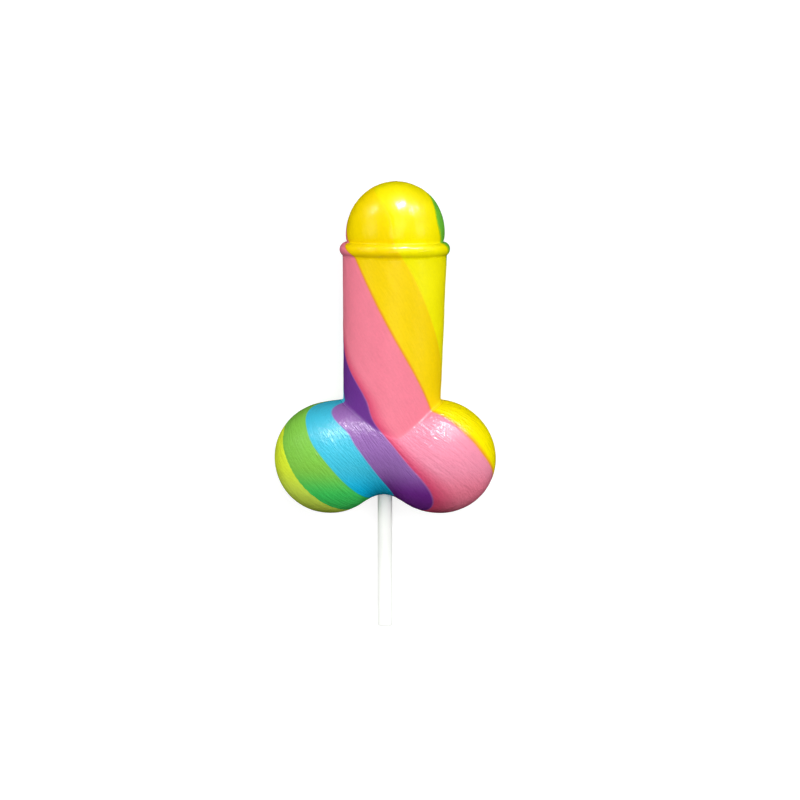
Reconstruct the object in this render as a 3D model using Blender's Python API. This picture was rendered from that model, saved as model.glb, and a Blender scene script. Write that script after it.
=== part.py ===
"""A twisted rainbow candy on a paper stick, lying on its back.

The candy is one solid: a plain shaft that leans a little, a domed tip above a raised collar,
and two round lobes at its foot, joined by a waist. The stick sits in a blind bore.
X runs across the candy, +Y along it to the tip, and +Z up from the surface it lies on.
"""

import math

import bmesh
import bpy
import numpy as np

MM = 0.001

# Stick
STICK_RADIUS = 2.25 * MM
STICK_LENGTH = 89.0 * MM
STICK_END = -68.35 * MM
STICK_EDGE = 0.3 * MM
STICK_SIDES = 32
BORE_GAP = 0.3 * MM

# Height of the stick above the surface that the candy lies on, a little under its half thickness
AXIS_HEIGHT = 16.8 * MM

# Shaft: lean and flare are the sideways shift and the growth of its radius per length
SHAFT_FOOT_X = 2.15 * MM
SHAFT_LEAN = 0.0192
SHAFT_FOOT_RADIUS = 15.0 * MM
SHAFT_FLARE = 0.0212
SHAFT_ROOT = -10.4 * MM

# Collar bead and domed tip, as heights along the shaft from its foot
COLLAR_HEIGHT = 47.6 * MM
COLLAR_BASE_RADIUS = 14.6 * MM
COLLAR_BULGE = 2.35 * MM
COLLAR_HALF_WIDTH = 2.35 * MM
DOME_FOOT = 52.5 * MM
DOME_RADIUS = 15.2 * MM
DOME_HEIGHT = 15.85 * MM
HEM_HEIGHT = 2.6 * MM
HEM_TUCK = 0.4 * MM

# Lobes and waist: centre, half sizes, and the slope of the long axis in the XY plane
LEFT_LOBE = ((-16.6 * MM, -16.2 * MM), (17.4 * MM, 17.2 * MM, 17.4 * MM), math.radians(19))
RIGHT_LOBE = ((15.8 * MM, -15.85 * MM), (18.5 * MM, 17.5 * MM, 17.4 * MM), math.radians(-23))
WAIST = ((-1.5 * MM, -12.25 * MM), (24.0 * MM, 15.4 * MM, 15.5 * MM), 0.0)
WAIST_BLEND = 3.0 * MM
CREASE_BLEND = 1.3 * MM

# Rings of the surface
SPOKES = 64
DOME_RINGS = 11
HEM_RINGS = 3
COLLAR_RINGS = 7
SHAFT_RINGS = 10
LOBE_RINGS = 28
CREASE_MARGIN = 1.3 * MM
LOBES_CENTRE = np.array((0.0, -14.4 * MM, AXIS_HEIGHT))
LONGEST_REACH = 60.0 * MM
BISECTIONS = 40
CUTTER_SIZE = 200.0 * MM

SPOKE_ANGLES = np.arange(SPOKES) * 2 * math.pi / SPOKES


def clear_scene():
    for obj in list(bpy.data.objects):
        bpy.data.objects.remove(obj, do_unlink=True)


def candy_material():
    material = bpy.data.materials.new("pulled sugar")
    material.use_nodes = True
    shader = material.node_tree.nodes["Principled BSDF"]
    shader.inputs["Base Color"].default_value = (0.87, 0.22, 0.29, 1.0)
    shader.inputs["Roughness"].default_value = 0.3
    shader.inputs["Metallic"].default_value = 0.0
    return material


def stick_material():
    material = bpy.data.materials.new("rolled paper")
    material.use_nodes = True
    shader = material.node_tree.nodes["Principled BSDF"]
    shader.inputs["Base Color"].default_value = (0.80, 0.82, 0.78, 1.0)
    shader.inputs["Roughness"].default_value = 0.7
    shader.inputs["Metallic"].default_value = 0.0
    return material


def shaft_radius(height):
    return SHAFT_FOOT_RADIUS + SHAFT_FLARE * height


def on_shaft(height, radius):
    """One point for each spoke, at heights along the leaning shaft and radii from its middle."""
    height = np.broadcast_to(height, SPOKES)
    side = SHAFT_FOOT_X + SHAFT_LEAN * height + radius * np.sin(SPOKE_ANGLES)
    front = AXIS_HEIGHT + radius * np.cos(SPOKE_ANGLES)
    return np.stack((side, height, front), axis=-1)


def smooth_union(first, second, blend):
    """The smaller of two distances, rounded where they are within the blend of each other."""
    overlap = np.maximum(blend - np.abs(first - second), 0.0) / blend
    return np.minimum(first, second) - overlap * overlap * blend / 4


def shaft_distance(points):
    """Distance from the shaft, whose root is rounded off inside the waist."""
    height = points[..., 1]
    middle = SHAFT_FOOT_X + SHAFT_LEAN * height
    across = np.hypot(points[..., 0] - middle, points[..., 2] - AXIS_HEIGHT)
    below_root = np.minimum(height - SHAFT_ROOT, 0.0)
    return np.hypot(across, below_root) - shaft_radius(np.maximum(height, SHAFT_ROOT))


def lobe_distance(points, lobe):
    """Distance from an ellipsoid, true near its surface."""
    centre, half_sizes, slope = lobe
    moved = points - np.array((*centre, AXIS_HEIGHT))
    along = moved[..., 0] * math.cos(slope) + moved[..., 1] * math.sin(slope)
    across = moved[..., 1] * math.cos(slope) - moved[..., 0] * math.sin(slope)
    local = np.stack((along, across, moved[..., 2]), axis=-1)
    scaled = np.linalg.norm(local / half_sizes, axis=-1)
    steepness = np.linalg.norm(local / np.square(half_sizes), axis=-1)
    return scaled * (scaled - 1) / steepness


def lobes_distance(points):
    lobes = np.minimum(lobe_distance(points, LEFT_LOBE), lobe_distance(points, RIGHT_LOBE))
    return smooth_union(lobes, lobe_distance(points, WAIST), WAIST_BLEND)


def foot_distance(points):
    """Distance from the shaft and the lobes together."""
    return smooth_union(lobes_distance(points), shaft_distance(points), CREASE_BLEND)


def bisect(distance_at, inside, outside):
    """Where a distance turns from negative to positive on the way from inside to outside."""
    for _ in range(BISECTIONS):
        middle = (inside + outside) / 2
        is_inside = distance_at(middle) < 0
        inside = np.where(is_inside, middle, inside)
        outside = np.where(is_inside, outside, middle)
    return (inside + outside) / 2


def crease_heights():
    """Height along the shaft at which each spoke runs into the lobes."""

    def distance_at(height):
        return lobes_distance(on_shaft(height, shaft_radius(height)))

    inside = np.full(SPOKES, LOBES_CENTRE[1])
    outside = np.full(SPOKES, COLLAR_HEIGHT)
    return bisect(distance_at, inside, outside)


def tip_profile():
    """Radius and height of each ring of the domed tip and the collar, from the tip down."""
    profile = []
    for step in range(1, DOME_RINGS + 1):
        angle = math.pi / 2 * step / DOME_RINGS
        profile.append((DOME_RADIUS * math.sin(angle), DOME_FOOT + DOME_HEIGHT * math.cos(angle)))
    for step in range(1, HEM_RINGS + 1):
        drop = step / HEM_RINGS
        profile.append((DOME_RADIUS - HEM_TUCK * drop**3, DOME_FOOT - HEM_HEIGHT * drop))
    groove_rise = DOME_RADIUS - HEM_TUCK - COLLAR_BASE_RADIUS
    foot_rise = shaft_radius(COLLAR_HEIGHT) - COLLAR_BASE_RADIUS
    first_angle = math.asin(groove_rise / COLLAR_BULGE)
    last_angle = math.pi - math.asin(foot_rise / COLLAR_BULGE)
    for step in range(1, COLLAR_RINGS + 1):
        angle = first_angle + (last_angle - first_angle) * step / COLLAR_RINGS
        radius = COLLAR_BASE_RADIUS + COLLAR_BULGE * math.sin(angle)
        profile.append((radius, COLLAR_HEIGHT + COLLAR_HALF_WIDTH * math.cos(angle)))
    return profile


def shaft_rings(top, creases):
    """Rings down the shaft, from the collar to just above the crease with the lobes."""
    rings = []
    for step in range(1, SHAFT_RINGS + 1):
        height = top + (creases + CREASE_MARGIN - top) * step / SHAFT_RINGS
        middle = on_shaft(height, 0.0)
        edge = on_shaft(height, 2 * shaft_radius(height))
        share = bisect(
            lambda t, a=middle, b=edge: foot_distance(a + (b - a) * t[:, None]),
            np.zeros(SPOKES),
            np.ones(SPOKES),
        )
        rings.append(middle + (edge - middle) * share[:, None])
    return rings


def lobe_rings(creases):
    """Rings that open out from the crease over the lobes and close round the stick below."""
    start = on_shaft(creases, shaft_radius(creases)) - LOBES_CENTRE
    azimuth = np.arctan2(start[:, 0], start[:, 2])
    first_polar = np.arctan2(np.hypot(start[:, 0], start[:, 2]), start[:, 1])
    rings = []
    for step in range(LOBE_RINGS):
        polar = first_polar + (math.pi - first_polar) * step / LOBE_RINGS
        flat = np.sin(polar)
        direction = np.stack((flat * np.sin(azimuth), np.cos(polar), flat * np.cos(azimuth)), axis=-1)
        reach = bisect(
            lambda t, d=direction: foot_distance(LOBES_CENTRE + d * t[:, None]),
            np.zeros(SPOKES),
            np.full(SPOKES, LONGEST_REACH),
        )
        rings.append(LOBES_CENTRE + direction * reach[:, None])
    return rings


def lowest_point():
    """The point under the waist, on the stick's axis."""
    down = np.array((0.0, -1.0, 0.0))
    reach = bisect(lambda t: foot_distance(LOBES_CENTRE + down * t), 0.0, LONGEST_REACH)
    return LOBES_CENTRE + down * reach


def mesh_from(shape, name):
    mesh = bpy.data.meshes.new(name)
    shape.to_mesh(mesh)
    shape.free()
    return mesh


def skin(name, first, rings, last):
    """A closed mesh of rings between two end points."""
    shape = bmesh.new()
    first_vertex = shape.verts.new(first)
    last_vertex = shape.verts.new(last)
    loops = [[shape.verts.new(point) for point in ring] for ring in rings]
    for i in range(SPOKES):
        j = (i + 1) % SPOKES
        shape.faces.new((first_vertex, loops[0][i], loops[0][j]))
        shape.faces.new((last_vertex, loops[-1][j], loops[-1][i]))
        for upper, lower in zip(loops, loops[1:]):
            shape.faces.new((upper[i], lower[i], lower[j], upper[j]))
    bmesh.ops.recalc_face_normals(shape, faces=shape.faces)
    mesh = mesh_from(shape, name)
    mesh.shade_smooth()
    return mesh


def add_object(name, mesh, material=None):
    obj = bpy.data.objects.new(name, mesh)
    bpy.context.scene.collection.objects.link(obj)
    if material:
        mesh.materials.append(material)
    return obj


def rod(name, radius, start, end):
    """A rod on the stick's axis, between two places along Y."""
    shape = bmesh.new()
    bmesh.ops.create_cone(
        shape, cap_ends=True, segments=STICK_SIDES, radius1=radius, radius2=radius, depth=end - start
    )
    obj = add_object(name, mesh_from(shape, name))
    obj.rotation_euler = (math.pi / 2, 0.0, 0.0)
    obj.location = (0.0, (start + end) / 2, AXIS_HEIGHT)
    return obj


def resting_block():
    """A block under the resting surface, which cuts the small flats that the candy lies on."""
    shape = bmesh.new()
    bmesh.ops.create_cube(shape, size=CUTTER_SIZE)
    block = add_object("resting_cut", mesh_from(shape, "resting_cut"))
    block.location = (0.0, 0.0, -CUTTER_SIZE / 2)
    return block


def cut(obj, cutter):
    cutter.hide_render = True
    cutter.display_type = "WIRE"
    boolean = obj.modifiers.new(cutter.name, "BOOLEAN")
    boolean.operation = "DIFFERENCE"
    boolean.solver = "EXACT"
    boolean.object = cutter


def make_candy():
    creases = crease_heights()
    profile = tip_profile()
    collar_foot = profile[-1][1]
    rings = [on_shaft(height, radius) for radius, height in profile]
    rings += shaft_rings(collar_foot, creases) + lobe_rings(creases)
    tip_height = DOME_FOOT + DOME_HEIGHT
    tip = (SHAFT_FOOT_X + SHAFT_LEAN * tip_height, tip_height, AXIS_HEIGHT)
    candy = add_object("candy", skin("candy", tip, rings, lowest_point()), candy_material())
    bore_end = STICK_END + STICK_LENGTH + BORE_GAP
    cut(candy, rod("stick_bore", STICK_RADIUS + BORE_GAP, STICK_END, bore_end))
    cut(candy, resting_block())


def make_stick():
    stick = rod("stick", STICK_RADIUS, STICK_END, STICK_END + STICK_LENGTH)
    stick.data.materials.append(stick_material())
    edges = stick.modifiers.new("cut ends", "BEVEL")
    edges.width = STICK_EDGE
    edges.segments = 2
    edges.limit_method = "ANGLE"
    edges.angle_limit = math.radians(60)
    stick.data.shade_smooth()
    stick.data.set_sharp_from_angle(angle=math.radians(40))


def main():
    clear_scene()
    make_candy()
    make_stick()


main()
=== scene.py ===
# %% [markdown]
# # A rainbow candy on a paper stick
# The real thing is one piece of boiled sugar. Ropes of coloured sugar are laid side by side, pulled,
# twisted into one rope and pressed to shape round a stick, so the stripes wind round the whole candy.
# The solid model was made before and is loaded here as a fixed frame. Everything below is built on it:
# the surface again with many more points, the winding of the stripes, the sugar's finish, and the light.

import math

import bmesh
import bpy
import numpy as np
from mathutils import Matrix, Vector, noise


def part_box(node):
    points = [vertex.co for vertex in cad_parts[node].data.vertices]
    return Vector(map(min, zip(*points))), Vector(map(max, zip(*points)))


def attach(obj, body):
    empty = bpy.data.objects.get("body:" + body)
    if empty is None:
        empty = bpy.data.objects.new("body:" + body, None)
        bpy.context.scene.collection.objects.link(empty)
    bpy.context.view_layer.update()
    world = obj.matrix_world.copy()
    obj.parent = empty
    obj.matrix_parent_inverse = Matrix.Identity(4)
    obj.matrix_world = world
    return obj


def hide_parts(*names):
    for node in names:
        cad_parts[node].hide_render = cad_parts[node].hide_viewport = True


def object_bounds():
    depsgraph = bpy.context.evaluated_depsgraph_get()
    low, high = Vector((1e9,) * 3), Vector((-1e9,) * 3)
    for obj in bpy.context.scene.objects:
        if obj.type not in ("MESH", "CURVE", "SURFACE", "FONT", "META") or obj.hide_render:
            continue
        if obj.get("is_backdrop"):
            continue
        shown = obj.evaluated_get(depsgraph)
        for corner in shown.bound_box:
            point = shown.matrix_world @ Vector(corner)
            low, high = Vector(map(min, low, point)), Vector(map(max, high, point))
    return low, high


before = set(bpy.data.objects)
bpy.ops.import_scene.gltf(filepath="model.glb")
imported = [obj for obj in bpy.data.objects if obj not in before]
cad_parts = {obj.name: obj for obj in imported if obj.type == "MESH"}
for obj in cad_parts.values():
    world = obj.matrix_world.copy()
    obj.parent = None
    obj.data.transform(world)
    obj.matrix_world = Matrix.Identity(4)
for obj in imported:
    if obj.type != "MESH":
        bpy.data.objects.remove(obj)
cad_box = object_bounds()
MM = 0.001
print("solids:", sorted(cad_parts))

# %% [markdown]
# ## Sizes that come from the frame
# The candy lies on its back: X runs across it, +Y along it to the tip, and +Z up. The stick gives the
# axis of the whole, because it is straight and lies level, so its box is read first. The box of the candy
# gives the height of the tip.

# %% Measure the stick and the candy
stick_low, stick_high = (Vector(corner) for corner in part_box("stick"))
candy_low, candy_high = (Vector(corner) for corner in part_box("candy"))
STICK_RADIUS = (stick_high.x - stick_low.x) / 2
AXIS_HEIGHT = (stick_high.z + stick_low.z) / 2
TIP_HEIGHT = candy_high.y
print(f"stick {STICK_RADIUS / MM:.2f} mm thick by half, axis {AXIS_HEIGHT / MM:.2f} mm up")
print(f"tip at {TIP_HEIGHT / MM:.2f} mm, lobes down to {candy_low.y / MM:.2f} mm")

# %% [markdown]
# ## The form of the candy
# A twisted candy like this could be sculpted, but every part of it has a simple form: the shaft is a
# leaning cone, the tip half an ellipsoid, the collar a bead, and the lobes are two ellipsoids with a third
# one, the waist, between them. So the form is kept as distances: a function says how far a point is from
# each part, and a smooth minimum joins them with a small fillet, as warm sugar does where two lumps are
# pressed together.

# %% Sizes of the shaft, the collar and the tip
SHAFT_FOOT_X = 2.15 * MM
SHAFT_LEAN = 0.0192
SHAFT_FOOT_RADIUS = 15.0 * MM
SHAFT_FLARE = 0.0212
SHAFT_ROOT = -10.4 * MM
COLLAR_HEIGHT = 47.6 * MM
COLLAR_BASE_RADIUS = 14.6 * MM
COLLAR_BULGE = 2.35 * MM
COLLAR_HALF_WIDTH = 2.35 * MM
DOME_FOOT = 52.5 * MM
DOME_RADIUS = 15.2 * MM
DOME_HEIGHT = TIP_HEIGHT - DOME_FOOT
HEM_HEIGHT = 2.6 * MM
HEM_TUCK = 0.4 * MM

# %% Sizes of the lobes: centre, half sizes and slope of the long axis
LEFT_LOBE = ((-16.6 * MM, -16.2 * MM), (17.4 * MM, 17.2 * MM, 17.4 * MM), math.radians(19))
RIGHT_LOBE = ((15.8 * MM, -15.85 * MM), (18.5 * MM, 17.5 * MM, 17.4 * MM), math.radians(-23))
WAIST = ((-1.5 * MM, -12.25 * MM), (24.0 * MM, 15.4 * MM, 15.5 * MM), 0.0)
WAIST_BLEND = 3.0 * MM
CREASE_BLEND = 0.4 * MM
LOBES_CENTRE = np.array((0.0, -14.4 * MM, AXIS_HEIGHT))

# %% How close the points lie
SPOKES = 280
DOME_RINGS = 58
HEM_RINGS = 8
COLLAR_RINGS = 22
SHAFT_RINGS = 108
LOBE_RINGS = 132
CREASE_MARGIN = 0.35 * MM
RINGS_FADING_BEFORE = 2
RINGS_FADING_AFTER = 4
LONGEST_REACH = 60.0 * MM
BISECTIONS = 40
SPOKE_ANGLES = np.arange(SPOKES) * 2 * math.pi / SPOKES
print("candy rings:", DOME_RINGS + HEM_RINGS + COLLAR_RINGS + SHAFT_RINGS + LOBE_RINGS)


# %% Distances from the parts
def shaft_radius(height):
    return SHAFT_FOOT_RADIUS + SHAFT_FLARE * height


def smooth_union(first, second, blend):
    overlap = np.maximum(blend - np.abs(first - second), 0.0) / blend
    return np.minimum(first, second) - overlap * overlap * blend / 4


def shaft_distance(points):
    height = points[..., 1]
    middle = SHAFT_FOOT_X + SHAFT_LEAN * height
    across = np.hypot(points[..., 0] - middle, points[..., 2] - AXIS_HEIGHT)
    below_root = np.minimum(height - SHAFT_ROOT, 0.0)
    return np.hypot(across, below_root) - shaft_radius(np.maximum(height, SHAFT_ROOT))


def lobe_distance(points, lobe):
    centre, half_sizes, slope = lobe
    moved = points - np.array((*centre, AXIS_HEIGHT))
    along = moved[..., 0] * math.cos(slope) + moved[..., 1] * math.sin(slope)
    across = moved[..., 1] * math.cos(slope) - moved[..., 0] * math.sin(slope)
    local = np.stack((along, across, moved[..., 2]), axis=-1)
    scaled = np.linalg.norm(local / half_sizes, axis=-1)
    steepness = np.linalg.norm(local / np.square(half_sizes), axis=-1)
    return scaled * (scaled - 1) / steepness


def lobes_distance(points):
    lobes = np.minimum(lobe_distance(points, LEFT_LOBE), lobe_distance(points, RIGHT_LOBE))
    return smooth_union(lobes, lobe_distance(points, WAIST), WAIST_BLEND)


def foot_distance(points):
    return smooth_union(lobes_distance(points), shaft_distance(points), CREASE_BLEND)


def bisect(distance_at, inside, outside):
    """Where a distance turns from negative to positive on the way from inside to outside."""
    for _ in range(BISECTIONS):
        middle = (inside + outside) / 2
        is_inside = distance_at(middle) < 0
        inside = np.where(is_inside, middle, inside)
        outside = np.where(is_inside, outside, middle)
    return (inside + outside) / 2


# %% [markdown]
# ## Rings round the candy
# One grid of points covers the whole candy, so its skin is a single closed surface with no seams. Rings
# go down the dome and the collar as turned shapes do. Down the shaft and over the lobes, each point is
# found by walking outward along a ray until the distance turns positive. Where shaft and lobes meet,
# the rings follow the crease, so that it stays crisp.

# %% Rings of the tip and the shaft
def on_shaft(height, radius):
    """One point for each spoke, at heights along the leaning shaft and radii from its middle."""
    height = np.broadcast_to(height, SPOKES)
    side = SHAFT_FOOT_X + SHAFT_LEAN * height + radius * np.sin(SPOKE_ANGLES)
    front = AXIS_HEIGHT + radius * np.cos(SPOKE_ANGLES)
    return np.stack((side, height, front), axis=-1)


def crease_heights():
    """Height along the shaft at which each spoke runs into the lobes."""
    inside = np.full(SPOKES, LOBES_CENTRE[1])
    outside = np.full(SPOKES, COLLAR_HEIGHT)
    return bisect(lambda height: lobes_distance(on_shaft(height, shaft_radius(height))), inside, outside)


def tip_profile():
    """Radius and height of each ring of the domed tip and the collar, from the tip down."""
    profile = []
    for step in range(1, DOME_RINGS + 1):
        angle = math.pi / 2 * step / DOME_RINGS
        profile.append((DOME_RADIUS * math.sin(angle), DOME_FOOT + DOME_HEIGHT * math.cos(angle)))
    for step in range(1, HEM_RINGS + 1):
        drop = step / HEM_RINGS
        profile.append((DOME_RADIUS - HEM_TUCK * drop**3, DOME_FOOT - HEM_HEIGHT * drop))
    groove_rise = DOME_RADIUS - HEM_TUCK - COLLAR_BASE_RADIUS
    foot_rise = shaft_radius(COLLAR_HEIGHT) - COLLAR_BASE_RADIUS
    first_angle = math.asin(groove_rise / COLLAR_BULGE)
    last_angle = math.pi - math.asin(foot_rise / COLLAR_BULGE)
    for step in range(1, COLLAR_RINGS + 1):
        angle = first_angle + (last_angle - first_angle) * step / COLLAR_RINGS
        radius = COLLAR_BASE_RADIUS + COLLAR_BULGE * math.sin(angle)
        profile.append((radius, COLLAR_HEIGHT + COLLAR_HALF_WIDTH * math.cos(angle)))
    return profile


def shaft_rings(top, creases):
    rings = []
    for step in range(1, SHAFT_RINGS + 1):
        height = top + (creases + CREASE_MARGIN - top) * step / SHAFT_RINGS
        middle = on_shaft(height, 0.0)
        edge = on_shaft(height, 2 * shaft_radius(height))
        share = bisect(
            lambda t, a=middle, b=edge: foot_distance(a + (b - a) * t[:, None]),
            np.zeros(SPOKES),
            np.ones(SPOKES),
        )
        rings.append(middle + (edge - middle) * share[:, None])
    return rings


# %% Rings of the lobes, down to the mouth round the stick
MOUTH_RADIUS = STICK_RADIUS + 0.08 * MM
SLEEVE_GAP = 0.03 * MM
LIP_HEIGHT = 0.4 * MM


def mouth_heights(azimuth):
    """Height at which the skin reaches the stick on each spoke."""
    side = MOUTH_RADIUS * np.sin(azimuth)
    front = AXIS_HEIGHT + MOUTH_RADIUS * np.cos(azimuth)

    def distance_at(drop):
        return foot_distance(np.stack((side, LOBES_CENTRE[1] - drop, front), axis=-1))

    return LOBES_CENTRE[1] - bisect(distance_at, np.zeros(SPOKES), np.full(SPOKES, LONGEST_REACH))


def lobe_rings(creases):
    start = on_shaft(creases, shaft_radius(creases)) - LOBES_CENTRE
    azimuth = np.arctan2(start[:, 0], start[:, 2])
    first_polar = np.arctan2(np.hypot(start[:, 0], start[:, 2]), start[:, 1])
    last_polar = np.arctan2(MOUTH_RADIUS, mouth_heights(azimuth) - LOBES_CENTRE[1])
    rings = []
    for step in range(LOBE_RINGS + 1):
        polar = first_polar + (last_polar - first_polar) * step / LOBE_RINGS
        flat = np.sin(polar)
        direction = np.stack((flat * np.sin(azimuth), np.cos(polar), flat * np.cos(azimuth)), axis=-1)
        reach = bisect(
            lambda t, d=direction: foot_distance(LOBES_CENTRE + d * t[:, None]),
            np.zeros(SPOKES),
            np.full(SPOKES, LONGEST_REACH),
        )
        rings.append(LOBES_CENTRE + direction * reach[:, None])
    return rings


def sleeve_rings(mouth, top):
    """The bore: a lip that turns in to the stick, then straight up beside it."""
    outward = mouth - np.array((0.0, 0.0, AXIS_HEIGHT))
    outward[:, 1] = 0.0
    outward /= np.linalg.norm(outward, axis=1)[:, None]
    foot = outward * (STICK_RADIUS + SLEEVE_GAP)
    foot[:, 2] += AXIS_HEIGHT
    lip, end = foot.copy(), foot.copy()
    lip[:, 1] = mouth[:, 1] + LIP_HEIGHT
    end[:, 1] = top
    return [lip, end]


# %% All rings in one grid
creases = crease_heights()
turned = tip_profile()
skin_rings = [on_shaft(height, radius) for radius, height in turned]
skin_rings += shaft_rings(turned[-1][1], creases) + lobe_rings(creases)
skin_points = np.array(skin_rings)
print("skin grid:", skin_points.shape, "mouth at", round(skin_points[-1, 0, 1] / MM, 2), "mm")

# %% [markdown]
# ## How the stripes wind
# Seven colours lie round the candy, in the order of a rainbow. An edge between two of them is a line that
# climbs the candy while it turns, so at each height it has one angle. Two short rows of numbers give an
# edge: its angle half way up the shaft and how fast it turns there, and the same for the lobes, where it
# also bends. Between the shaft and the lobes the two blend. Near the collar the press has dragged some
# edges sideways, and a third row adds that. Angles are in degrees from the front, clockwise as seen from
# the tip's side, and turns are in degrees for each 10 mm.

# %% Edges between the stripes
SHAFT_MIDDLE = 21.0 * MM
LOBES_MIDDLE = -15.0 * MM
TURN_LENGTH = 10.0 * MM
STRIPES = ("green", "blue", "purple", "pink", "golden", "lemon", "lime")
EDGES_ON_SHAFT = {
    "lime to green": (-221.7, -22.9),
    "green to blue": (-150.0, -29.5),
    "blue to purple": (-122.0, -22.3),
    "purple to pink": (-75.7, -23.8),
    "pink to golden": (2.6, -21.8),
    "golden to lemon": (61.2, -21.5),
    "lemon to lime": (134.3, -22.9),
}
EDGES_ON_LOBES = {
    "lime to green": (-58.5, -22.6, -1.1),
    "green to blue": (-32.7, -17.5, -1.8),
    "blue to purple": (-13.2, -15.7, 0.6),
    "purple to pink": (12.8, -14.6, -4.6),
    "pink to golden": (60.2, -16.1, 1.8),
    "golden to lemon": (140.0, -17.5, 0.0),
    "lemon to lime": (215.0, -17.5, 0.0),
}
EDGE_DRAGS = {
    "purple to pink": (-9.0, 4.0 * MM, 16.0 * MM),
    "lime to green": (4.0, 50.0 * MM, 60.0 * MM),
    "pink to golden": (-14.0, 45.0 * MM, 51.0 * MM),
    "golden to lemon": (14.0, 48.0 * MM, 60.0 * MM),
    "lemon to lime": (7.0, 50.0 * MM, 60.0 * MM),
}

# %% Where the winding changes
SHOULDER_TOP = 3.0 * MM
SHOULDER_FOOT = -8.1 * MM
LOBES_WIDENING = 1.6
WAVE_DEPTH = 1.2
WAVE_LENGTH = 44.0 * MM
WAVE_ENDS = (42.0 * MM, 48.0 * MM)
TIP_SINK = 18.0 * MM
TIP_SINK_SPAN = (55.0 * MM, 73.0 * MM)
FOOT_SINK = 17.0 * MM
FOOT_SINK_SPAN = (-12.0 * MM, -45.0 * MM)


def ease(value, start, end):
    """A smooth step from 0 at the start to 1 at the end."""
    share = np.clip((value - start) / (end - start), 0.0, 1.0)
    return share * share * (3 - 2 * share)


def edge_angle(name, height):
    up_shaft = (height - SHAFT_MIDDLE) / TURN_LENGTH
    up_lobes = (height - LOBES_MIDDLE) / TURN_LENGTH
    angle, turn = EDGES_ON_SHAFT[name]
    wave = WAVE_DEPTH * np.cos(2 * math.pi * (height - SHAFT_MIDDLE) / WAVE_LENGTH)
    drag, drag_start, drag_end = EDGE_DRAGS.get(name, (0.0, 0.0, 1.0))
    on_shaft_angle = angle + turn * up_shaft - wave * (1 - ease(height, *WAVE_ENDS))
    on_shaft_angle += drag * ease(height, drag_start, drag_end)
    angle, turn, bend = EDGES_ON_LOBES[name]
    on_lobes_angle = angle + turn * up_lobes + bend * up_lobes**2
    lobes_share = ease(height, SHOULDER_TOP, SHOULDER_FOOT)
    return on_shaft_angle * (1 - lobes_share) + on_lobes_angle * lobes_share


# %% [markdown]
# ## A number for each point
# Each point gets a stripe number from 0 to 7 that grows evenly from one edge to the next. As the lobes are
# twice as wide as they are thick, the angle there is taken on a squeezed cross section, so that stripes stay
# as wide as they look. The number is kept as a point on a circle (its cosine and sine), since that has no
# jump where 7 meets 0 again.

# %% Stripe number over the grid
def winding_angle(points):
    """Angle in degrees round the line that the stripes wind about, on a squeezed cross section."""
    height = points[..., 1]
    lobes_share = ease(height, SHOULDER_TOP, SHOULDER_FOOT)
    middle = (SHAFT_FOOT_X + SHAFT_LEAN * height) * (1 - lobes_share)
    width = 1 + (LOBES_WIDENING - 1) * lobes_share
    sink = TIP_SINK * ease(height, *TIP_SINK_SPAN) + FOOT_SINK * ease(height, *FOOT_SINK_SPAN)
    return np.degrees(np.arctan2((points[..., 0] - middle) / width, points[..., 2] - AXIS_HEIGHT + sink))


def stripe_number(points):
    edges = np.array([edge_angle(name, points[..., 1]) for name in EDGES_ON_SHAFT])
    edges = np.concatenate((edges, edges[:1] + 360))
    angle = winding_angle(points)
    angle = edges[0] + np.mod(angle - edges[0], 360)
    number = np.zeros(angle.shape)
    for index in range(len(STRIPES)):
        width = edges[index + 1] - edges[index]
        number += np.clip((angle - edges[index]) / width, 0.0, 1.0)
    return number


stripe = stripe_number(skin_points)
print("stripe numbers from", round(stripe.min(), 2), "to", round(stripe.max(), 2))

# %% [markdown]
# ## Relief
# Pulled sugar is never quite smooth. It has low dents from the press, fine ridges that run with the
# stripes from the pulling, and a shallow groove where two ropes meet. These are real shapes here, since a
# glossy surface shows them at its outline and in its reflections. The relief only goes inward, so the
# candy keeps its size.

# %% Depth of the relief
SKIN_INSET = 0.03 * MM
DENT_DEPTH = 0.16 * MM
DENT_SIZE = 9.0 * MM
RIDGE_DEPTH = 0.11 * MM
RIDGES_ROUND = 9.0
RIDGE_LENGTH = 26.0 * MM
GROOVE_DEPTH = 0.07 * MM
GROOVE_SHARE = 0.02


def noise_at(points):
    """Smooth noise between 0 and 1."""
    flat = points.reshape(-1, 3)
    values = np.array([noise.noise(Vector(point)) for point in flat])
    return np.clip(values.reshape(points.shape[:-1]) * 0.5 + 0.5, 0.0, 1.0)


def relief_depth(points, number):
    turn = number * 2 * math.pi / len(STRIPES)
    pulled = np.stack(
        (np.cos(turn) * RIDGES_ROUND, np.sin(turn) * RIDGES_ROUND, points[..., 1] / RIDGE_LENGTH), axis=-1
    )
    depth = SKIN_INSET + DENT_DEPTH * noise_at(points / DENT_SIZE) + RIDGE_DEPTH * noise_at(pulled)
    from_edge = np.abs(number - np.round(number))
    return depth + GROOVE_DEPTH * np.exp(-np.square(from_edge / GROOVE_SHARE))


def outward_normals(points):
    """Normals of the grid, from its neighbours along and around."""
    along = np.gradient(points, axis=0)
    around = np.roll(points, -1, axis=1) - np.roll(points, 1, axis=1)
    normals = np.cross(along, around)
    return normals / np.linalg.norm(normals, axis=-1)[..., None]


depth = relief_depth(skin_points, stripe)
relief_points = skin_points - outward_normals(skin_points) * depth[..., None]
relief_points[..., 2] = np.maximum(relief_points[..., 2], 0.0)
print("relief from", round(depth.min() / MM, 3), "to", round(depth.max() / MM, 3), "mm deep")

# %% [markdown]
# ## The candy's mesh
# The grid becomes one closed mesh: a point at the tip, the rings, and the bore that holds the stick. Two
# things are stored on its points, where a material can read them: the stripe number, and a share that says
# whether a point lies on the lobes, since the sugar looks different there.

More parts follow.
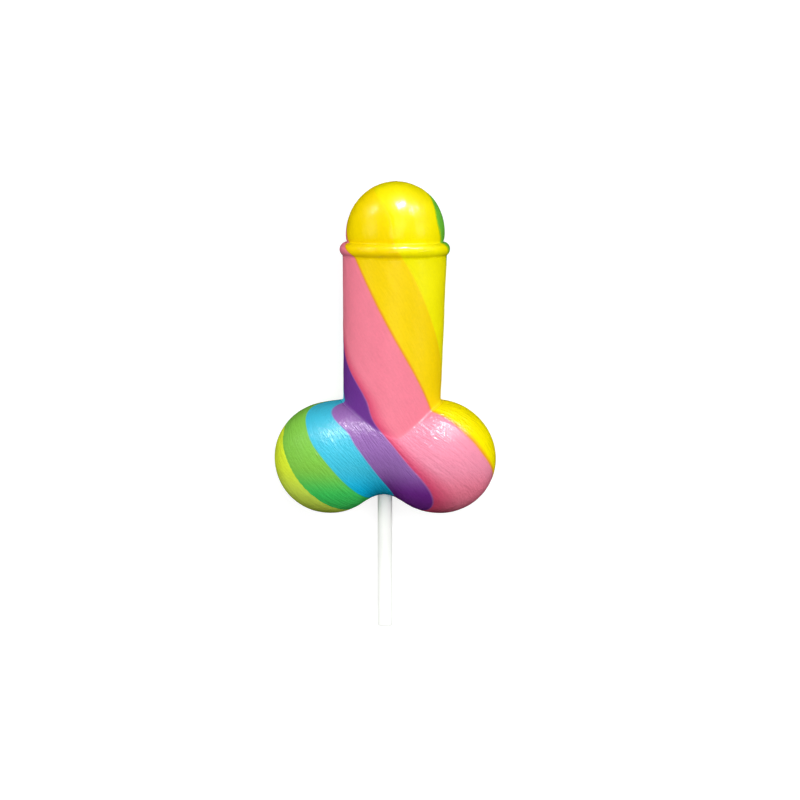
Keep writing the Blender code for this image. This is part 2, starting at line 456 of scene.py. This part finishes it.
# %% Build the candy
def closed_skin(name, first, rings, last):
    """A closed mesh of rings between two end points, with its points stored in that order."""
    shape = bmesh.new()
    count = len(rings[0])
    first_vertex = shape.verts.new(first)
    loops = [[shape.verts.new(point) for point in ring] for ring in rings]
    last_vertex = shape.verts.new(last)
    for i in range(count):
        j = (i + 1) % count
        shape.faces.new((first_vertex, loops[0][i], loops[0][j]))
        shape.faces.new((last_vertex, loops[-1][j], loops[-1][i]))
        for upper, lower in zip(loops, loops[1:]):
            shape.faces.new((upper[i], lower[i], lower[j], upper[j]))
    bmesh.ops.recalc_face_normals(shape, faces=shape.faces)
    mesh = bpy.data.meshes.new(name)
    shape.to_mesh(mesh)
    shape.free()
    mesh.shade_smooth()
    obj = bpy.data.objects.new(name, mesh)
    bpy.context.scene.collection.objects.link(obj)
    return obj


bore_top = stick_high.y + LIP_HEIGHT
candy_rings = list(relief_points) + sleeve_rings(relief_points[-1], bore_top)
tip = (SHAFT_FOOT_X + SHAFT_LEAN * TIP_HEIGHT, TIP_HEIGHT - SKIN_INSET, AXIS_HEIGHT)
candy = closed_skin("pulled_candy", tip, candy_rings, (0.0, bore_top, AXIS_HEIGHT))
print("candy faces:", len(candy.data.polygons))

# %% Store the stripe number on the points
turn = stripe * 2 * math.pi / len(STRIPES)
pulled_place = np.stack((np.cos(turn), np.sin(turn), skin_points[..., 1]), axis=-1).reshape(-1, 3)
tip_place = pulled_place[:SPOKES].mean(axis=0)
mouth_place = pulled_place[-SPOKES:]
stored = np.concatenate((tip_place[None], pulled_place, mouth_place, mouth_place, mouth_place[:1]))
winding = candy.data.attributes.new("winding", "FLOAT_VECTOR", "POINT")
winding.data.foreach_set("vector", stored.astype(np.float32).ravel())
print("stored winding on", len(stored), "of", len(candy.data.vertices), "points")

# %% Store which points lie on the lobes
first_lobe_ring = len(skin_points) - LOBE_RINGS - 1
fade_start = first_lobe_ring - RINGS_FADING_BEFORE
fade_end = first_lobe_ring + RINGS_FADING_AFTER
ring_shares = ease(np.arange(len(skin_points)), fade_start, fade_end)
lobe_shares = np.concatenate(([0.0], np.repeat(ring_shares, SPOKES), np.ones(2 * SPOKES + 1)))
on_lobes = candy.data.attributes.new("on_lobes", "FLOAT", "POINT")
on_lobes.data.foreach_set("value", lobe_shares.astype(np.float32))
print("points on the lobes:", int(lobe_shares.round().sum()))

# %% [markdown]
# ## Writing materials as formulas
# A material is a graph of nodes, and a long one is hard to read as code. This small class wraps one output
# of a node, so that adding or multiplying two of them adds the Math node in between. One method makes every
# other kind of node: its settings come first, because they decide which sockets it has.

# %% A socket that can do arithmetic
class Flow:
    """One output of a shader node, with the arithmetic that the finishes need."""

    def __init__(self, finish, socket):
        self.finish = finish
        self.socket = socket

    def math(self, operation, *inputs):
        node = self.finish.tree.nodes.new("ShaderNodeMath")
        node.operation = operation
        for socket, value in zip(node.inputs, inputs):
            self.finish.feed(socket, value)
        return Flow(self.finish, node.outputs[0])

    def __add__(self, other):
        return self.math("ADD", self, other)

    def __sub__(self, other):
        return self.math("SUBTRACT", self, other)

    def __rsub__(self, other):
        return self.math("SUBTRACT", other, self)

    def __mul__(self, other):
        return self.math("MULTIPLY", self, other)

    def __truediv__(self, other):
        return self.math("DIVIDE", self, other)

    __radd__ = __add__
    __rmul__ = __mul__

    def ease(self, start, end):
        """A smooth step from 0 at the start to 1 at the end."""
        settings = {"interpolation_type": "SMOOTHSTEP"}
        sockets = {"Value": self, "From Min": start, "From Max": end}
        return self.finish.node("ShaderNodeMapRange", settings, sockets)


# %% A finish: one material and its nodes
VECTOR_OUTPUT = 1
FACTOR_OUTPUT = 2
OBJECT_OUTPUT = 3


class Finish:
    """A new material, whose nodes are made one by one."""

    def __init__(self, name):
        self.material = bpy.data.materials.new(name)
        self.material.use_nodes = True
        self.tree = self.material.node_tree
        self.shader = self.tree.nodes["Principled BSDF"]

    def feed(self, socket, value):
        if isinstance(value, Flow):
            self.tree.links.new(value.socket, socket)
        else:
            socket.default_value = value

    def node(self, kind, settings=None, sockets=None, output=0):
        """A node of any kind: settings first, then values or links by socket name."""
        node = self.tree.nodes.new(kind)
        for key, setting in (settings or {}).items():
            if key == "stops":
                self.set_stops(node.color_ramp, setting)
            else:
                setattr(node, key, setting)
        for key, value in (sockets or {}).items():
            socket = next(s for s in node.inputs if s.enabled and s.name == key)
            self.feed(socket, value)
        shown = [s for s in node.outputs if s.enabled]
        return Flow(self, shown[output])

    def set_stops(self, ramp, stops):
        while len(ramp.elements) > 1:
            ramp.elements.remove(ramp.elements[-1])
        ramp.elements[0].position = stops[0][0]
        ramp.elements[0].color = (*stops[0][1], 1.0)
        for place, colour in stops[1:]:
            ramp.elements.new(place).color = (*colour, 1.0)

    def blend(self, share, first, second):
        return self.node("ShaderNodeMix", {"data_type": "RGBA"}, {"Factor": share, "A": first, "B": second})

    def place(self):
        """Where a point lies on the object, in metres."""
        return self.node("ShaderNodeTexCoord", output=OBJECT_OUTPUT)

    def grain(self, place, scale, detail=2.0):
        """Smooth noise between 0 and 1 at a place."""
        sockets = {"Vector": place, "Scale": scale, "Detail": detail}
        return self.node("ShaderNodeTexNoise", None, sockets)

    def stripes(self, around, colours):
        return self.node("ShaderNodeValToRGB", {"stops": stripe_stops(colours)}, {"Fac": around})

    def set(self, **values):
        """Fixed values or links on the shader itself."""
        for key, value in values.items():
            self.feed(self.shader.inputs[key.replace("_", " ")], value)


# %% [markdown]
# ## The stripes' colours
# The colours are those of food dye in opaque pulled sugar: strong and milky. A ramp over the stripe number
# holds them, with two stops for each stripe, so that an edge is crisp but not a step. The dyes have run
# where they meet: a thin orange line between pink and golden, and a wider crimson run from purple into pink.
# A pale line on purple's side of that edge is a painted highlight, standing in for glints along the groove.
# The bands don't have one tone all over: the shaft, the tip and the underside of the lobes each have their
# own tones of the same seven colours. The upper lobes have paler, lighter tones, partly the sugar's own tone
# and partly a painted sheen.

# %% Stripe colours
SHAFT_COLOURS = {
    "green": (0.15, 0.52, 0.04),
    "blue": (0.01, 0.49, 0.66),
    "purple": (0.15, 0.034, 0.27),
    "pink": (0.90, 0.225, 0.31),
    "golden": (0.92, 0.65, 0.0),
    "lemon": (0.92, 0.84, 0.0),
    "lime": (0.42, 0.65, 0.01),
}
# Tones of the upper lobes: partly the sugar's own tone, partly a painted sheen that makes them paler and
# lighter than the shaft's.
SHEENED_LOBE_COLOURS = {
    "green": (0.22, 0.57, 0.065),
    "blue": (0.05, 0.52, 0.71),
    "purple": (0.30, 0.14, 0.43),
    "pink": (0.89, 0.285, 0.41),
    "golden": (1.0, 0.85, 0.0),
    "lemon": (0.90, 0.88, 0.0),
    "lime": (0.74, 0.90, 0.04),
}
FOOT_COLOURS = {
    "green": (0.06, 0.71, 0.13),
    "blue": (0.0, 0.57, 0.93),
    "purple": (0.18, 0.024, 0.28),
    "pink": (0.98, 0.23, 0.34),
    "golden": (1.0, 0.85, 0.0),
    "lemon": (0.90, 0.88, 0.0),
    "lime": (0.73, 0.95, 0.10),
}
FOOT_SPAN = (-17.0 * MM, -27.0 * MM)
TIP_COLOURS = {**SHAFT_COLOURS, "golden": (0.92, 0.69, 0.0), "lemon": (0.91, 0.79, 0.0)}
TIP_SPAN = (46.0 * MM, 53.0 * MM)
RUN_ORANGE = (0.85, 0.22, 0.02)
RUN_CRIMSON = (0.74, 0.07, 0.17)
# Painted highlight: a pale line on purple's side of its edge with pink stands in for glints along the groove
# there.
GLINT_LILAC = (0.62, 0.30, 0.55)
EDGE_SOFTNESS = 0.008
RUN_WIDTHS = {"golden": 0.065, "pink": 0.20}
RUN_COLOURS = {"golden": RUN_ORANGE, "pink": RUN_CRIMSON}
GLINT_LINE_COLOURS = {"purple": GLINT_LILAC}
GLINT_LINE_WIDTH = 2 * EDGE_SOFTNESS


def stripe_stops(colours):
    """Ramp stops over all stripes, with the runs of orange and crimson and the painted highlight line."""
    stops = []
    for index, name in enumerate(STRIPES):
        start, end = index + EDGE_SOFTNESS, index + 1 - EDGE_SOFTNESS
        if name in RUN_COLOURS:
            stops.append((start, RUN_COLOURS[name]))
            start += RUN_WIDTHS[name]
        stops.append((start, colours[name]))
        # At the end of purple the ramp paints the pale highlight line.
        if name in GLINT_LINE_COLOURS:
            stops.append((end - GLINT_LINE_WIDTH, colours[name]))
        stops.append((end, GLINT_LINE_COLOURS.get(name, colours[name])))
    return [(place / len(STRIPES), colour) for place, colour in stops]


# %% [markdown]
# ## The sugar's finish
# Pulled sugar is full of tiny drawn-out bubbles: they give it a milky tone, pale hairs along the stripes
# and a satin gloss. So noise is stretched along the stripes for the hairs and the fine ridges, and fine
# round noise gives the pits. The gloss differs from part to part: satin on the shaft, smooth and brighter
# on the tip that the mould has polished, and glossy but scored by the pull on the lobes, where each
# highlight breaks up into short lines.

# %% Candy material
PULL_SCALE = 21.0
PULL_STRETCH = 330.0
HAIR_SCALE = 2.1
PIT_SCALE = 1300.0
CLOUD_SCALE = 160.0
HAIR_SHADE = 0.10
CLOUD_SHADE = 0.08
PIT_SHADE = 0.10
RIDGE_RELIEF = 0.5
HAIR_RELIEF = 0.2
PIT_RELIEF = 0.3
RELIEF_STRENGTH = 0.8
RELIEF_DISTANCE = 0.68 * MM
SHAFT_DRAWING = 0.22
SATIN = 0.36
CLOUD_ROUGHNESS = 0.06
LOBES_GLOSS = 0.18
TIP_GLOSS = 0.13
TIP_GLOSS_SPAN = (42.0 * MM, 46.0 * MM)
SUGAR_IOR = 1.5


def candy_finish():
    sugar = Finish("pulled sugar")
    stored = sugar.node("ShaderNodeAttribute", {"attribute_name": "winding"}, output=VECTOR_OUTPUT)
    cosine, sine, height = (
        sugar.node("ShaderNodeSeparateXYZ", None, {"Vector": stored}, axis) for axis in range(3)
    )
    turn = sine.math("ARCTAN2", sine, cosine) / (2 * math.pi)
    around = turn.math("FRACT", turn + 1.0)
    lobes_share = sugar.node("ShaderNodeAttribute", {"attribute_name": "on_lobes"}, output=FACTOR_OUTPUT)
    colour = sugar.stripes(around, SHAFT_COLOURS)
    # On the lobes the ramp takes the paler tones, which carry a painted sheen.
    colour = sugar.blend(lobes_share, colour, sugar.stripes(around, SHEENED_LOBE_COLOURS))
    for span, colours in ((FOOT_SPAN, FOOT_COLOURS), (TIP_SPAN, TIP_COLOURS)):
        colour = sugar.blend(height.ease(*span), colour, sugar.stripes(around, colours))
    along = {"X": cosine * PULL_SCALE, "Y": sine * PULL_SCALE, "Z": height * PULL_STRETCH}
    pulled = sugar.node("ShaderNodeCombineXYZ", None, along)
    place = sugar.place()
    ridges = sugar.grain(pulled, 1.0)
    hairs = sugar.grain(pulled, HAIR_SCALE)
    pits = sugar.grain(place, PIT_SCALE)
    clouds = sugar.grain(place, CLOUD_SCALE)
    shade = 1.0 + (hairs - 0.5) * HAIR_SHADE + (clouds - 0.5) * CLOUD_SHADE + (pits - 0.5) * PIT_SHADE
    colour = sugar.node("ShaderNodeVectorMath", {"operation": "SCALE"}, {"Vector": colour, "Scale": shade})
    drawn = SHAFT_DRAWING + lobes_share * (1.0 - SHAFT_DRAWING)
    relief = (ridges * RIDGE_RELIEF + hairs * HAIR_RELIEF + pits * PIT_RELIEF) * drawn
    bump = sugar.node(
        "ShaderNodeBump",
        None,
        {"Strength": RELIEF_STRENGTH, "Distance": RELIEF_DISTANCE, "Height": relief},
    )
    dullness = SATIN + clouds * CLOUD_ROUGHNESS - lobes_share * LOBES_GLOSS
    dullness = dullness - height.ease(*TIP_GLOSS_SPAN) * TIP_GLOSS
    sugar.set(Base_Color=colour, Roughness=dullness, IOR=SUGAR_IOR, Normal=bump)
    return sugar.material


candy.data.materials.append(candy_finish())
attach(candy, "root")
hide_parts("candy")
print("candy finish:", candy.active_material.name)

# %% [markdown]
# ## The stick
# A lollipop stick is a strip of paper rolled tight and glued, then cut to length. Rolling leaves one edge of
# the strip as a fine straight step along the stick, and at the cut ends the layers show as a spiral. The
# stick is a tube of rings whose radius drops by one paper thickness round the turn, with a spiral groove in
# the end faces.

# %% Sizes of the stick
STICK_SPOKES = 96
PAPER_STEP = 0.05 * MM
STICK_EDGE = 0.3 * MM
LAYER_PITCH = 0.32 * MM
LAYER_GROOVE = 0.10 * MM
LAYER_GROOVE_SHARE = 0.16
END_RINGS = 26
EDGE_RINGS = 4
BODY_RINGS = 90
SEAM_ANGLE = math.radians(205)


def stick_ring(height, radius):
    """One ring, whose radius drops by a paper's thickness on the way round from the seam."""
    angles = np.arange(STICK_SPOKES) * 2 * math.pi / STICK_SPOKES
    round_share = np.mod(angles - SEAM_ANGLE, 2 * math.pi) / (2 * math.pi)
    reach = radius * (1 - PAPER_STEP / STICK_RADIUS * round_share)
    side = reach * np.sin(angles)
    front = AXIS_HEIGHT + reach * np.cos(angles)
    return np.stack((side, np.full(STICK_SPOKES, height), front), axis=-1)


def end_rings(end, inward):
    """Rings from the middle of a cut end to its edge, with the spiral of the rolled paper."""
    rings = []
    flat_radius = STICK_RADIUS - STICK_EDGE
    angles = np.arange(STICK_SPOKES) / STICK_SPOKES
    for step in range(1, END_RINGS + 1):
        radius = flat_radius * step / END_RINGS
        ring = stick_ring(end, radius)
        layer = np.mod(radius / LAYER_PITCH - angles, 1.0)
        ring[:, 1] += inward * LAYER_GROOVE * np.exp(-np.square((layer - 0.5) / LAYER_GROOVE_SHARE))
        rings.append(ring)
    for step in range(1, EDGE_RINGS + 1):
        angle = math.pi / 2 * step / EDGE_RINGS
        radius = flat_radius + STICK_EDGE * math.sin(angle)
        rings.append(stick_ring(end + inward * STICK_EDGE * (1 - math.cos(angle)), radius))
    return rings


# %% Build the stick
lower, upper = stick_low.y, stick_high.y
body_heights = np.linspace(lower + 2 * STICK_EDGE, upper - 2 * STICK_EDGE, BODY_RINGS)
stick_rings = end_rings(lower, 1) + [stick_ring(height, STICK_RADIUS) for height in body_heights]
stick_rings += end_rings(upper, -1)[::-1]
stick = closed_skin("rolled_stick", (0.0, lower, AXIS_HEIGHT), stick_rings, (0.0, upper, AXIS_HEIGHT))
print("stick faces:", len(stick.data.polygons))


# %% [markdown]
# ## Paper
# The paper is matt white with a faint grey tone. Its fibres run along the stick, since the strip is cut
# that way, so the noise for bump and shade is stretched along Y. The stick also glows a little: painted
# light that keeps its sides bright, as if it were lit evenly.

# %% Stick material
FIBRE_STRETCH = (1.0, 0.16, 1.0)
FIBRE_SCALE = 2600.0
FIBRE_DETAIL = 3.0
FIBRE_DEPTH = 0.1 * MM
MOTTLE_SCALE = 320.0
PAPER_DARK = (0.86, 0.88, 0.83, 1.0)
PAPER_LIGHT = (0.95, 0.96, 0.94, 1.0)
# Painted light: a faint glow that keeps the stick's sides bright.
PAINTED_GLOW_COLOUR = (1.0, 1.0, 0.96, 1.0)
PAINTED_PAPER_GLOW = 0.14


def paper_finish():
    paper = Finish("rolled paper")
    place = paper.place()
    drawn = paper.node("ShaderNodeMapping", None, {"Vector": place, "Scale": FIBRE_STRETCH})
    fibres = paper.grain(drawn, FIBRE_SCALE, FIBRE_DETAIL)
    mottle = paper.grain(place, MOTTLE_SCALE)
    colour = paper.blend(fibres * 0.5 + mottle * 0.5, PAPER_DARK, PAPER_LIGHT)
    bump = paper.node("ShaderNodeBump", None, {"Strength": 0.4, "Distance": FIBRE_DEPTH, "Height": fibres})
    paper.set(Base_Color=colour, Roughness=0.55 + mottle * 0.2, Normal=bump)
    # The glow is painted light, not light passing through the paper.
    paper.set(Emission_Color=PAINTED_GLOW_COLOUR, Emission_Strength=PAINTED_PAPER_GLOW)
    return paper.material


stick.data.materials.append(paper_finish())
stick.visible_glossy = False
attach(stick, "root")
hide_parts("stick")
print("stick finish:", stick.active_material.name)

# %% [markdown]
# ## Floor and light
# The candy lies on a plain white table. A white floor that only reflects would turn grey under soft light,
# so it glows a little, and shadows on it stay faint. A photographer would light such a glossy thing with
# large soft boxes all round and keep their mirror images small. Lamps can share that work here: wide ones
# give only soft light, and a few narrow ones are seen only as highlights.

# %% Floor
FLOOR_SIZE = 3.0
FLOOR_SINK = 0.02 * MM
FLOOR_MOTTLE_SCALE = 40.0
FLOOR_DARK = (0.34, 0.34, 0.34, 1.0)
FLOOR_LIGHT = (0.36, 0.36, 0.36, 1.0)
FLOOR_GLOW = 0.78
WHITE = (1.0, 1.0, 1.0, 1.0)


def make_floor():
    half = FLOOR_SIZE / 2
    corners = [(-half, -half), (half, -half), (half, half), (-half, half)]
    mesh = bpy.data.meshes.new("table")
    mesh.from_pydata([(x, y, -FLOOR_SINK) for x, y in corners], [], [(0, 1, 2, 3)])
    floor = bpy.data.objects.new("table", mesh)
    bpy.context.scene.collection.objects.link(floor)
    white = Finish("white table")
    colour = white.blend(white.grain(white.place(), FLOOR_MOTTLE_SCALE), FLOOR_DARK, FLOOR_LIGHT)
    white.set(Base_Color=colour, Roughness=0.9, Emission_Color=WHITE, Emission_Strength=FLOOR_GLOW)
    mesh.materials.append(white.material)
    floor.visible_diffuse = False
    floor.visible_glossy = False
    return floor


make_floor()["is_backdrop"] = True


# %% Lamps and surroundings
SOFT_LAMPS = {
    "broad lamp": ((0.22, 0.36, 0.91), 0.97, 28.0),
    "front lamp": ((0.0, 0.0, 1.0), 0.75, 24.0),
    "top lamp": ((0.0, 0.93, 0.36), 0.45, 28.0),
    "left lamp": ((-0.85, 0.15, 0.50), 1.40, 28.0),
    "right lamp": ((0.88, 0.15, 0.45), 1.30, 28.0),
    "upper left lamp": ((-0.76, 0.64, 0.14), 0.92, 28.0),
    "upper right lamp": ((0.76, 0.64, 0.14), 0.92, 28.0),
}
HIGHLIGHT_LAMPS = {
    "spot lamp": ((0.18, 0.90, 0.38), 3.3, 6.0),
    "small lamp": ((-0.68, 0.69, 0.25), 0.3, 4.0),
    "veil lamp": ((0.56, 0.74, 0.36), 1.1, 14.0),
}
SURROUNDINGS_GLOW = 0.05


def add_lamp(name, direction, strength, spread, mirrored):
    """A distant round lamp in a direction from the candy, with an apparent size in degrees."""
    lamp = bpy.data.lights.new(name, "SUN")
    lamp.energy = strength
    lamp.angle = math.radians(spread)
    obj = bpy.data.objects.new(name, lamp)
    obj.rotation_euler = Vector(direction).to_track_quat("Z", "Y").to_euler()
    obj.visible_glossy = mirrored
    obj.visible_diffuse = not mirrored
    bpy.context.scene.collection.objects.link(obj)


def set_surroundings():
    world = bpy.data.worlds.new("studio")
    world.use_nodes = True
    background = world.node_tree.nodes["Background"]
    background.inputs["Color"].default_value = WHITE
    background.inputs["Strength"].default_value = SURROUNDINGS_GLOW
    world.cycles_visibility.glossy = False
    bpy.context.scene.world = world


for lamps, mirrored in ((SOFT_LAMPS, False), (HIGHLIGHT_LAMPS, True)):
    for name, (direction, strength, spread) in lamps.items():
        add_lamp(name, direction, strength, spread, mirrored)
set_surroundings()
print("lamps:", len(SOFT_LAMPS), "soft and", len(HIGHLIGHT_LAMPS), "for highlights")

# %% [markdown]
# ## Camera
# The picture is taken from almost straight above, from a little towards the tip, and from far away, so the
# candy hardly tapers. The camera aims at a point near the middle of the stick's axis.

# %% Camera
CAMERA_DISTANCE = 0.9
CAMERA_TILT = math.radians(6.2)
CAMERA_TARGET = Vector((4.6 * MM, 1.41 * MM, AXIS_HEIGHT))
VIEW_WIDTH = 244.65 * MM


def add_camera():
    camera = bpy.data.cameras.new("camera")
    camera.lens = camera.sensor_width * CAMERA_DISTANCE / VIEW_WIDTH
    obj = bpy.data.objects.new("camera", camera)
    back = Vector((0.0, math.sin(CAMERA_TILT), math.cos(CAMERA_TILT)))
    obj.location = CAMERA_TARGET + back * CAMERA_DISTANCE
    obj.rotation_euler = (-CAMERA_TILT, 0.0, 0.0)
    bpy.context.scene.collection.objects.link(obj)
    bpy.context.scene.camera = obj


add_camera()
bpy.context.scene.view_settings.view_transform = "Standard"

# %% [markdown]
# ## The size
# The relief only goes inward, so the box of the finished candy should lie inside the box of its solid
# model. Both boxes are printed.

# %% Print the boxes of the solid model and the finished candy
sizes = {
    "cad": [list(corner) for corner in cad_box],
    "visual": [list(corner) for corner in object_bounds()],
}
for name, corners in sizes.items():
    print(name, [[round(value / MM, 2) for value in corner] for corner in corners])
